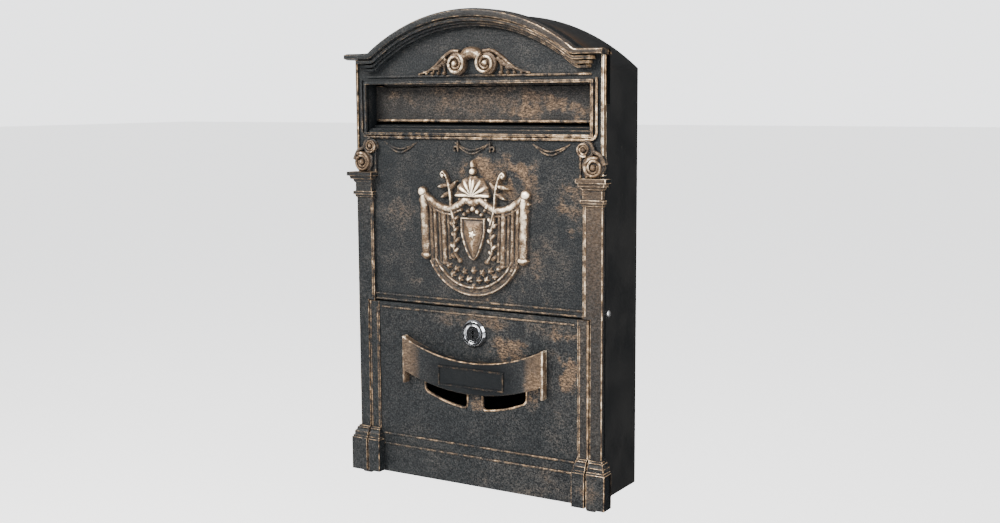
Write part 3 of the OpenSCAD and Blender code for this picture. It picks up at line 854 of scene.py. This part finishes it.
def distance_to(x, z, a, b):
    """Distance to the stretch from a to b, and how far along it the nearest point lies."""
    ax, az = a
    dx, dz = b[0] - ax, b[1] - az
    t = np.clip(((x - ax) * dx + (z - az) * dz) / (dx * dx + dz * dz), 0, 1)
    return np.hypot(x - ax - t * dx, z - az - t * dz), t


def cord(height, x, z, line, radius, top):
    """Raises a rounded cord along a line of points."""
    for a, b in zip(line[:-1], line[1:]):
        away, _ = distance_to(x, z, a, b)
        height = dome(height, away, radius, top)
    return height


def dome(height, away, radius, top):
    """Raises a rounded form with short steep sides, where away is below the radius."""
    round_top = np.sqrt(np.clip(1 - (away / radius) ** 2, 0, 1))
    return np.where(away < radius, np.maximum(height, top * (0.45 + 0.55 * round_top)), height)


def domes(height, x, z, places):
    """Raises round bosses, each given by its centre, radius and height."""
    for p, q, radius, top in places:
        height = dome(height, np.hypot(x - p, z - q), radius, top)
    return height


def rosette(height, x, z, centre, radius, top, wave, eye):
    """Raises a flower of five petals with a boss in its middle."""
    p, q = centre
    petals = 1 + wave * np.cos(5 * np.arctan2(z - q, x - p))
    height = dome(height, np.hypot(x - p, z - q) / petals, radius, top)
    return domes(height, x, z, [(p, q) + eye])


# Hanging folds of the cloth: distance out, half width, lowest and highest point, height
FOLDS = [(49.5, 3.9, -25, 26, 5.6), (43.0, 1.9, -31, 20, 3.4), (38.6, 1.7, -34, 17, 4.2),
         (34.2, 1.5, -33, 15, 3.0), (29.6, 2.3, -31, 14, 4.8), (25.0, 1.4, -27, 12, 3.2)]


def crest_height(across, up):
    """Height of the crest: a plain shield between leafy stalks and hanging cloth, with a
    scallop shell above and a ribbon of rosettes below."""
    x, z = across, up - CREST_Z
    side = np.abs(x)
    height = np.zeros_like(x) - 0.35
    bowl = np.hypot(x, z + 9)
    height = np.where((bowl < 47) & (z < 20), 1.2, height)

    for i, (fold, width, low, high, top) in enumerate(FOLDS):
        away, along = distance_to(side, z, (fold - 0.8, low), (fold + 0.6, high))
        ripple = 1 + 0.1 * np.sin(z * 0.5 + i * 1.7)
        height = dome(height, away * ripple, width, top * (0.85 + 0.15 * along))
        hem = np.hypot(side - fold + 0.8, (z - low) * 1.8)
        height = dome(height, hem, width * 1.35, top * 0.95)

    drape = [(52, 30), (46, 25), (38, 19.5), (30, 16.5), (22, 16), (15, 19.5), (8, 24), (0, 22)]
    height = cord(height, side, z, drape, 3.2, 5.2)
    height = cord(height, side, z, [(p, q - 4.8) for p, q in drape[:6]], 1.3, 3.6)
    height = domes(height, side, z, [(51.5, 30, 4.6, 6.0), (53, 22.6, 2.6, 4.6),
                                     (52.8, 16.6, 1.9, 3.6), (14.5, 19, 2.6, 5.6)])

    stem = curve([(17.6, 4), (21.4, 16), (22.6, 30), (25.6, 42), (29.4, 47.6), (31.4, 45.4), (30, 43.4)], 4)
    height = cord(height, side, z, stem, 1.4, 5.2)
    height = domes(height, side, z, [(29.6, 44.6, 1.8, 5.6)])
    for start, tip in (((24.4, 36.5), (36, 34.5)), ((23.4, 30), (32.5, 25.5)), ((23.2, 33), (16.6, 40))):
        away, along = distance_to(side, z, start, tip)
        height = dome(height, away / np.sin(0.5 + 2.5 * along), 2.3, 4.4)

    turn = np.arctan2(z - 28, side)
    shell = np.hypot(x, z - 28)
    reach = 16.2 + 0.9 * np.abs(np.cos(turn * 6.5))
    flutes = 1 + 0.16 * np.cos(turn * 13)
    fan = (2.2 + 3.6 * np.sqrt(np.clip(1 - (shell / 17.5) ** 2, 0, 1))) * flutes
    height = np.where((shell < reach) & (z > 28), np.maximum(height, fan), height)
    height = cord(height, x, z, [(-16, 28), (16, 28)], 1.7, 5.6)
    height = domes(height, side, z, [(p, 24.4, 1.9, 4.8) for p in (2.8, 8.0, 13.0)])
    height = np.where((side < 14) & (z > 22) & (z < 28), np.maximum(height, 1.8), height)
    height = domes(height, x, z, [(0, 48.4, 3.3, 6.0)])
    height = dome(height, np.hypot(x * 1.7, z - 54.5), 4.0, 5.4)

    point = np.sqrt(np.clip((z + 27) / 24.0, 0, 1))
    inside = np.minimum(np.where(z < -3, 12.4 * point, 12.4) - side, 9.5 - z)
    field = 2.2 + 2.9 * np.sin(0.5 * math.pi * np.clip((inside - 1.6) / 9, 0, 1))
    rim = np.where(inside < 2.0, 4.7 - 1.2 * np.abs(inside - 1.0), field)
    height = np.where(inside > 0, np.maximum(height, rim), height)
    berries = ((0, 16.4, 2.6), (4.6, 14.6, 2.2), (8.6, 12.0, 1.9), (2.6, 20.4, 1.7), (12.0, 15.6, 1.7))
    height = domes(height, side, z, [(p, q, r, 3.6 + 0.7 * r) for p, q, r in berries])
    height = rosette(height, x, z, (0, -5), 4.2, 5.9, 0.22, (1.5, 6.4))

    stalk = curve([(14.5, -27), (19.0, -20), (18.4, -11), (18.0, -2), (20.4, 5), (20.8, 10)], 4)
    height = cord(height, side, z, stalk, 1.3, 4.6)
    height = domes(height, side, z, [(13.6, -28.0, 2.4, 4.8)])
    for i in range(8):
        turn = (1, -1)[i % 2]
        p, q = 18.6 + 0.9 * math.sin(1.3 * i) + 1.9 * turn, 4.6 * i - 24.5
        u = (side - p) * math.cos(0.75) + (z - q) * math.sin(0.75) * turn
        v = (z - q) * math.cos(0.75) - (side - p) * math.sin(0.75) * turn
        height = dome(height, np.hypot(u / 1.7, v), 1.9, 4.8 + 0.3 * (i % 3))

    turn = np.degrees(np.arctan2(-(z + 9), side))
    ribbon = (turn > 25) & (z < -20)
    off = np.abs(bowl - 45)
    wavy = np.maximum(height, 2.4 + 0.4 * np.cos(turn * 0.5))
    height = np.where(ribbon & (off < 4.2), wavy, height)
    height = np.where(ribbon, dome(height, np.abs(off - 3.1), 1.1, 4.4), height)
    for centre in ((0, -36), (9, -37.5), (17, -35.5), (25, -33), (5, -44), (13, -43.5), (21, -40),
                   (0, -50.5)):
        height = rosette(height, side, z, centre, 2.9, 4.2, 0.2, (1.1, 5.4))

    # Each height is averaged with its neighbours, as sand casting blunts small edges
    for axis in (0, 1):
        height = (np.roll(height, 1, axis) + 2 * height + np.roll(height, -1, axis)) / 4
    return height


def gilded(low, high, weak, strong):
    """How much bronze a point carries: weak up to the height low above the panel, strong
    from high on. Strong values near 1 and above also bring in the cream painted highlight."""
    def gild(x, y, z):
        return np.interp(PANEL_Y - y, [low, high], [weak, strong])
    return gild


def crest_gild(x, y, z):
    """Bare where the crest meets the panel, and more bronze the higher it stands; the tallest parts go on
    into the cream painted highlight, and all of it a little more towards the right.
    """
    gild = np.interp(PANEL_Y - y, [0.0, 1.0, 1.8, 3.4, 4.6, 5.4], [0.0, 0.05, 0.15, 0.6, 1.15, 2.1])
    return gild * np.interp(x, [-40, 40], [0.85, 1.05])


def pilaster_gild(x, y, z):
    """More bronze on the right pilaster than on the left; the sides of the feet are darkened as painted
    shade.
    """
    upper = np.interp(z, [FOOT_H, BASE_Z, CAP_Z - 70, CAP_Z - 20], [-0.02, 0.0, 0.05, 0.25])
    foot = np.interp(z, [FOOT_H, BASE_Z + 6], [1, 0])
    gild = np.where(x > 0, 0.06 + upper - 0.06 * foot, 0.3 * upper - 0.05 + 0.04 * foot)
    # The sides of the feet: painted shade, darker than the front
    return np.where(np.abs(x) > FOOT_HALF - 0.1, -0.8, gild)


def cornice_gild(x, y, z):
    """Bronze towards the right; the top of the frame behind the roll gets painted shade instead, the darkest
    and smoothest charcoal.
    """
    on_top = np.hypot(x, z - ARCH_MID_Z) > CORNICE_R - 7
    # Painted shade on the top of the frame behind the roll
    top_painted_shade = np.interp(y, [0.5, 1.5], [0, 1]) * on_top
    return np.interp(x, [-60, 20, 110], [0.0, 0.04, 0.16]) * (1 - top_painted_shade) - top_painted_shade


def cornice_wear(x, y, z):
    """The outer roll is rubbed more than the ridges below it, and the right side most."""
    return np.interp(y, [CORNICE_Y, -1.5, -0.5], [1.1, 1.1, 0.65]) \
        * np.interp(x, [-80, 0, 90], [0.55, 0.7, 1.15])


def on_sill(y, z):
    return (y > 12) & (z < SLOT_LOW + 9)


def slot_wear(x, y, z):
    """The sill is rubbed least, and the lines above the slot only towards the right."""
    above = np.interp(x, [-100, 10, 80], [0.25, 0.6, 0.85])
    rim = np.interp(x, [-110, 110], [0.65, 1.1])
    return np.where(z > SLOT_TOP, above, np.where(on_sill(y, z), 0.3, rim))


def slot_gild(x, y, z):
    """The sill, in the recess under the flap, is painted dark: painted shade."""
    return np.where(on_sill(y, z), -0.85, 0.0)


def door_wear(x, y, z):
    """The thin lines across the door are rubbed less than the strips beside them."""
    return np.where(np.abs(x) < LINE_HALF + 0.5, 0.62, 0.85)


def banner_wear(x, y, z):
    """Rubbed along the top edge, and little along the bottom."""
    return np.interp(z, [92, 104], [0.4, 1.0])


def edge_wear(x, y, z):
    """The lines at the foot of the panel are rubbed less than the frame's upper edges."""
    return np.where(z < DOOR_TOP + 12, 0.6, 1.2)


def edge_gild(x, y, z):
    """The returns along the sides are painted dark and smooth as painted shade, and the right edge is bright.
    """
    bright = np.where((x > HALF - 2.5) & (z > CAP_Z), 0.9, 0.0)
    # Side returns: painted shade
    return np.where(np.abs(x) > HALF + 0.1, -1.0, bright)


def banner_gild(x, y, z):
    """Rubbed bright towards both ends, and left smooth and dark in the middle."""
    side = np.abs(x)
    ends = np.interp(side, [26, 40, 60, 69.5, 70.2], [-1.0, -0.6, 0.4, 0.6, 1.2])
    return np.where(x > 0, ends, 0.8 * ends)


def front_frame():
    behind("frame_casting", "front_frame", PANEL_Y + 0.02, "body", CAST)
    cast("cornice", cornice(), wear=cornice_wear, gild=cornice_gild)
    cast("frame_edges", ear_corners() + border_lines() + hinge_lugs(), wear=edge_wear, gild=edge_gild)
    cast("slot_mouldings", slot_mouldings(), wear=slot_wear, gild=slot_gild)
    cast("pilasters", pilasters(), gild=pilaster_gild)
    cast("consoles", consoles(), wear=0.65, gild=gilded(3.0, 7.0, 0.0, 0.75))
    cast("scroll_pair", scroll_pair(), wear=0.6, gild=gilded(2.0, 8.4, 0.2, 1.2))
    cast("swags", swags(), wear=0.5)
    crest = relief((-57, 57), (CREST_Z - 62, CREST_Z + 62), 0.45, crest_height, PANEL_Y + 1.5)
    cast("crest", [crest], smooth=80, wear=0.75, gild=crest_gild)


# ---- door

def banner_line(x, inset):
    """Lower and upper edge of the banner's face at a place across, drawn in by inset."""
    top_r = (PULL_HALF ** 2 + PULL_DIP ** 2) / (2 * PULL_DIP)
    upper = PULL_TOP - PULL_DIP + top_r - np.sqrt((top_r + inset) ** 2 - x * x)
    lower = PULL_LOW + PULL_LOW_R - np.sqrt((PULL_LOW_R - inset) ** 2 - x * x)
    return lower, upper


def banner():
    """The banner: a hollow cast shell with a round rim, its face slightly dished. Over the
    finger openings it has no underside, so fingers reach up behind the face."""
    columns, rows = 73, 17
    across = np.linspace(-1, 1, columns)
    across = np.sign(across) * (1 - (1 - np.abs(across)) ** 1.2)
    up = 0.5 - 0.5 * np.cos(np.linspace(0, math.pi, rows))
    thick = 2.6

    def sheet(inset, depth, dish=0.0):
        x = across * (PULL_HALF - 0.1 - inset)
        lower, upper = banner_line(x, inset)
        z = lower + (upper - lower) * up[:, None]
        y = depth + dish * (1 - across ** 2) * np.sin(np.pi * up)[:, None]
        open_below = (np.abs(x) > BRIDGE_HALF) & (np.abs(x) < GRIP_HALF) & (up[:, None] < 0.02)
        y = np.where(open_below, np.minimum(y, PULL_Y + thick - 0.2), y)
        return np.stack([np.broadcast_to(x, z.shape), y, z], axis=-1)

    face = sheet(0.9, PULL_Y, 0.9)
    hollow = sheet(3.0, PULL_Y + thick, 0.5)
    foot = DOOR_Y + 0.3
    outside = [(0.45, PULL_Y + 0.08), (0.12, PULL_Y + 0.35), (0.0, PULL_Y + 0.8), (0.0, PULL_Y + 1.3)]
    rings = [grid_rim(sheet(inset, y)) for inset, y in outside + [(0.0, foot), (3.0, foot)]]
    flat = np.arange(rows * columns).reshape(rows, columns)
    quads = grid_quads(flat)
    inside = rows * columns
    around = len(rings[0])
    ids = [grid_rim(flat)] + [2 * inside + i * around + np.arange(around) for i in range(len(rings))]
    ids.append(inside + grid_rim(flat))
    faces = [tuple(quad) for quad in quads] + [tuple(reversed(inside + quad)) for quad in quads]
    for a, b in zip(ids[:-1], ids[1:]):
        faces += [(a[j], b[j], b[(j + 1) % around], a[(j + 1) % around]) for j in range(around)]
    points = np.concatenate([face.reshape(-1, 3), hollow.reshape(-1, 3)] + rings)
    end = block((PULL_HALF - 2.5, PULL_Y, PULL_FOOT), (PULL_HALF, foot, PULL_TOP - 0.4), 0.9)
    return [(points, faces)] + both_sides(end)


def name_frame():
    """Thin frame of the blank name plate on the banner, and the plate within it."""
    low, high, half = 89.1, 104.9, 32.4
    ring = [(-half, high), (half, high), (half, low), (-half, low)]
    return [sweep(ring, bar(1.3, PULL_Y - 0.5, 3.0, 0.45), closed=True),
            block((-half, PULL_Y + 0.35, low), (half, 3.0, high), 0.3)]


def grip_lips():
    """Raised lips around the two finger openings, and the bridge between them."""
    lip = GRIP_R + 0.6
    inner, outer = BRIDGE_HALF - 0.6, GRIP_HALF + 0.6
    low = [(x, GRIP_LOW + GRIP_R - math.sqrt(lip * lip - x * x))
           for x in np.linspace(inner + 2.6, outer - 2.6, 20)]
    path = [(inner, 88.0), (inner, 75.0), (inner + 0.4, 71.0)] + low
    path += [(outer - 0.5, low[-1][1] + 2.4), (outer, low[-1][1] + 5), (outer, 91.0)]
    line = sweep(path, roll(1.5, DOOR_Y - 0.8, DOOR_Y + 1.2), floor_y=DOOR_Y)
    return both_sides(line)


def door_mouldings():
    """Border strips, the door's half of each foot, and the thin lines across it."""
    levels = [(z, 98.0 + 2.6 * min(y, BASE_STEP) / BASE_STEP, DOOR_HALF - GAP_EASE, y)
              for z, _, _, y in foot_levels(0, 0.2, 0, 0, BASE_Z + 1.4)[:-1]]
    strip = [(z, STRIP_LEFT, DOOR_HALF, REACH_Y) for z in (BASE_Z - 0.5, DOOR_TOP - 0.1)]
    edge = block((DOOR_HALF - 1.5, REACH_Y - 0.5, BASE_Z), (DOOR_HALF - 0.05, DOOR_BACK, DOOR_TOP - 0.3), 0.5)
    seam = block((101.6, REACH_Y - 0.35, BASE_Z + 1), (102.7, DOOR_BACK, DOOR_TOP - 5), 0.3)
    lines = [block((-LINE_HALF, REACH_Y, z), (LINE_HALF, DOOR_BACK, z + LINE_TALL), 0.6)
             for z in (25.3, 34.8, DOOR_TOP - 5.4)]
    return both_sides(pillar(levels, DOOR_BACK), pillar(strip, DOOR_BACK), edge, seam) + lines


def door():
    behind("door_casting", "door", DOOR_Y + 0.02, "door", CAST)
    cast("door_mouldings", door_mouldings(), "door", wear=door_wear, gild=pilaster_gild)
    cast("banner_pull", banner(), "door", smooth=50, wear=banner_wear, gild=banner_gild)
    cast("name_plate", name_frame(), "door", wear=0.42, gild=-0.8)
    cast("grip_lips", grip_lips(), "door")


# ---- flap, body and lock

def flap():
    """The mail flap: a cast plate with a rolled lower edge and a curl around its rod."""
    front, back = FLAP_HIGH[1] - 1.5, FLAP_HIGH[1]
    low = FLAP_LOW[2] + 1.2
    half = FLAP_HIGH[0]
    plate = block((-half, front, low), (half, back, SLOT_TOP - 1.6), 0.5)
    hem = roll_bar(-SLOT_HALF + 0.8, SLOT_HALF - 0.8, front + 0.4, low, 1.2)
    y, z = ROD[1:]
    curl_half = SLOT_HALF - 8.6
    outer = arc((y, z), 2.9, 40, 300, 27)
    inner = arc((y, z), ROD_R + 0.12, 300, 40, 27)
    leg = [(front, z - 0.2), (front, SLOT_TOP - 3), (back, SLOT_TOP - 3), (back, z + 0.9), (y + 2.6, z + 2.5)]
    curl = along_x(np.concatenate([inner, leg, outer[1:]]), -curl_half, curl_half)
    cast("slot_flap_plate", [plate, hem, curl], "flap", replaces=["slot_flap"], gild=0.04)


def sheet_body():
    """Sides and arched roof, folded from one sheet, with its folds eased."""
    middle = ROOF_Z - ROOF_R
    spring = math.degrees(math.asin((SPRING_Z - middle) / ROOF_R))
    over = arc((0, middle), ROOF_R, 180 - spring, spring, 73)
    left = [(-HALF, z) for z in (SOLE_Z, SOLE_Z + 1.2, SOLE_Z + 60, SPRING_Z - 60, SPRING_Z - 1.4)]
    right = [(-x, z) for x, z in reversed(left)]
    path = np.concatenate([left, over[1:-1], right])
    front, back, sheet = 14.1, BODY_DEPTH - 0.85, 0.8
    profile = fillet([(0, front), (0, back), (-sheet, back), (-sheet, front)], 0.25, support=1.5)
    piece("sheet_wrap", [sweep(path, profile)], "body", "sheet_body", SHEET, ["body_wrap"], smooth=30)


def rivet_heads():
    """Domed heads over the two side rivets."""
    low, high = drawn("body_rivets")
    y, z = (low[1] + high[1]) / 2, (low[2] + high[2]) / 2
    radius = (high[2] - low[2]) / 2
    tall = 1.15
    head = ball((0, 0), 0.0, radius, tall, 32)
    shank = lathe([(0, 0), (1.5, 0), (1.5, 5.2), (2.2, 5.5), (2.2, 6.0), (0, 6.0)], (0, 0), 24)
    turned = [(np.column_stack([HALF + out - points[:, 1], y + points[:, 0], z + points[:, 2]]), faces)
              for (points, faces), out in ((head, tall), (shank, 0.05))]
    piece("rivet_heads", both_sides(*turned), "body", "rivet", ZINC, ["body_rivets"])


def lock():
    """The lock's chromed bezel, stepped and domed, over the barrel that the frame holds."""
    hole = 6.5
    steps = [(hole, 2.6), (hole, 0.9), (8.2, 0.5), (8.6, 0), (10.4, 0.1), (BEZEL_R - 0.3, 1.5),
             (BEZEL_R, 2.6)]
    profile = [(r, LOCK_LOW[1] + y) for r, y in steps] + [(BEZEL_R, DOOR_Y - 0.02), (hole, DOOR_Y - 0.02)]
    r, y = fillet(profile, 0.3, steps=4).T
    rings = [np.column_stack([r * math.cos(a), y, LOCK_Z + r * math.sin(a)]) for a in whole_turn(72)]
    ring = (np.concatenate(rings), tube_faces(len(rings), len(r), True))
    piece("lock_bezel", [ring], "door", "lock_chrome", CHROME)
    behind("lock_barrel", "lock_body", DOOR_Y + 0.01, "door", CHROME)


def carried_over():
    """CAD nodes that are shown as they are, their edges eased and their finish added."""
    other = {"bottom_panel": SHEET, "back_panel": SHEET, "lock_plug": CHROME}
    for name in ("flap_rod", "rod_clips", "bottom_panel", "back_panel", "bottom_rivets", "door_pin_left",
                 "door_pin_right", "lock_washer", "lock_nut", "lock_plug", "stop_washer", "lock_cam",
                 "cam_washer", "cam_screw"):
        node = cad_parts[name]
        node.data.materials.clear()
        node.data.materials.append(other.get(name, ZINC))
        weld = node.modifiers.new("weld", "WELD")
        weld.merge_threshold = 1e-6
        ease = node.modifiers.new("ease", "BEVEL")
        ease.width = 0.15 * MM
        ease.segments = 2
        ease.limit_method = "ANGLE"
        ease.angle_limit = math.radians(40)
        ease.harden_normals = True


# ---- light, floor and camera

def area_light(name, place, target, size, power, colour):
    light = bpy.data.lights.new(name, "AREA")
    light.shape = "RECTANGLE"
    light.size, light.size_y = size
    light.energy = power
    light.color = colour
    obj = link(name, light)
    obj.location = place
    obj.rotation_euler = (Vector(target) - Vector(place)).to_track_quat("-Z", "Y").to_euler()


def lying(across, back, level):
    """Corners of a level sheet, from its ranges across and back."""
    return [(across[0], back[0], level), (across[1], back[0], level),
            (across[1], back[1], level), (across[0], back[1], level)]


def standing(start, end, low, high):
    """Corners of an upright sheet that runs from start to end."""
    return [start + (low,), end + (low,), end + (high,), start + (high,)]


def screen(name, corners, material):
    """A flat sheet of the studio, given by its corners."""
    mesh = bpy.data.meshes.new(name)
    mesh.from_pydata(corners, [], [(0, 1, 2, 3)])
    mesh.materials.append(material)
    obj = link(name, mesh)
    return obj


def studio():
    """A pale floor far below, soft light from the upper left, a bright even sky behind, and
    three dark sheets that only gloss sees, so the paint keeps its depth."""
    low = -0.62
    pale = Graph("pale_floor")
    pale.shader.inputs["Emission Strength"].default_value = 0.8
    paint = pale.wire(Base_Color=rgb(0.9, 0.9, 0.9), Roughness=0.9, Emission_Color=rgb(1.0, 1.0, 1.0))
    screen("floor", lying((-30, 30), (-30, 30), low), paint)
    felt = Graph("black_felt").wire(Base_Color=rgb(0.01, 0.01, 0.01), Roughness=0.95)
    for name, corners in (("dark_screen_front", standing((-1.5, -0.75), (-0.15, -1.5), low, 0.6)),
                          ("dark_screen_rear", standing((-2.4, 1.3), (2.4, 0.9), low, 2.2)),
                          ("dark_mat", lying((-0.5, 1.4), (-0.8, 1.2), low + 0.05))):
        dark = screen(name, corners, felt)
        dark.visible_camera = False
        dark.visible_diffuse = False
        dark.visible_shadow = False
    bright = 2.8
    sky = Graph("studio", world=True)
    split = sky.node("ShaderNodeSeparateXYZ", {"Vector": sky.place})
    lit = sky.fit(split.outputs["Y"], -0.3, 0.5, 0.35, bright)
    seen = sky.node("ShaderNodeLightPath").outputs["Is Camera Ray"]
    shown = sky.node("ShaderNodeMix", {"Factor": seen, "A": lit, "B": bright})
    bpy.context.scene.world = sky.wire(Color=rgb(0.97, 0.98, 1.0), Strength=shown.outputs["Result"])
    area_light("key", (-0.75, -1.5, 1.35), (0, -0.05, 0), (1.1, 1.1), 180, (1.0, 0.97, 0.93))
    area_light("side", (1.5, -0.45, 0.3), (0.1, -0.06, 0), (0.3, 0.9), 16, (1.0, 0.95, 0.9))
    area_light("fill", (1.1, -1.5, 0.7), (0, -0.05, 0), (1.0, 1.0), 46, (0.95, 0.97, 1.0))


def camera():
    """The viewing angle: from the right, a little above, and turned back to the mailbox. Its
    place, angles and lens were fitted to the photograph's straight edges."""
    yaw, pitch, tilt = math.radians(31.137), math.radians(-7.337), math.radians(-0.326)
    lens = bpy.data.cameras.new("camera")
    lens.lens = 46.117
    lens.sensor_width = 36.0
    obj = link("camera", lens)
    forward = Vector((-math.sin(yaw) * math.cos(pitch), math.cos(yaw) * math.cos(pitch), math.sin(pitch)))
    level = Vector((math.cos(yaw), math.sin(yaw), 0))
    upright = level.cross(forward)
    right = level * math.cos(tilt) + upright * math.sin(tilt)
    up = upright * math.cos(tilt) - level * math.sin(tilt)
    axes = Matrix((right, up, -forward)).transposed()
    obj.matrix_world = Matrix.Translation((0.5795, -0.98, 0.1372)) @ axes.to_4x4()
    bpy.context.scene.camera = obj


front_frame()
door()
flap()
sheet_body()
rivet_heads()
lock()
carried_over()
studio()
camera()
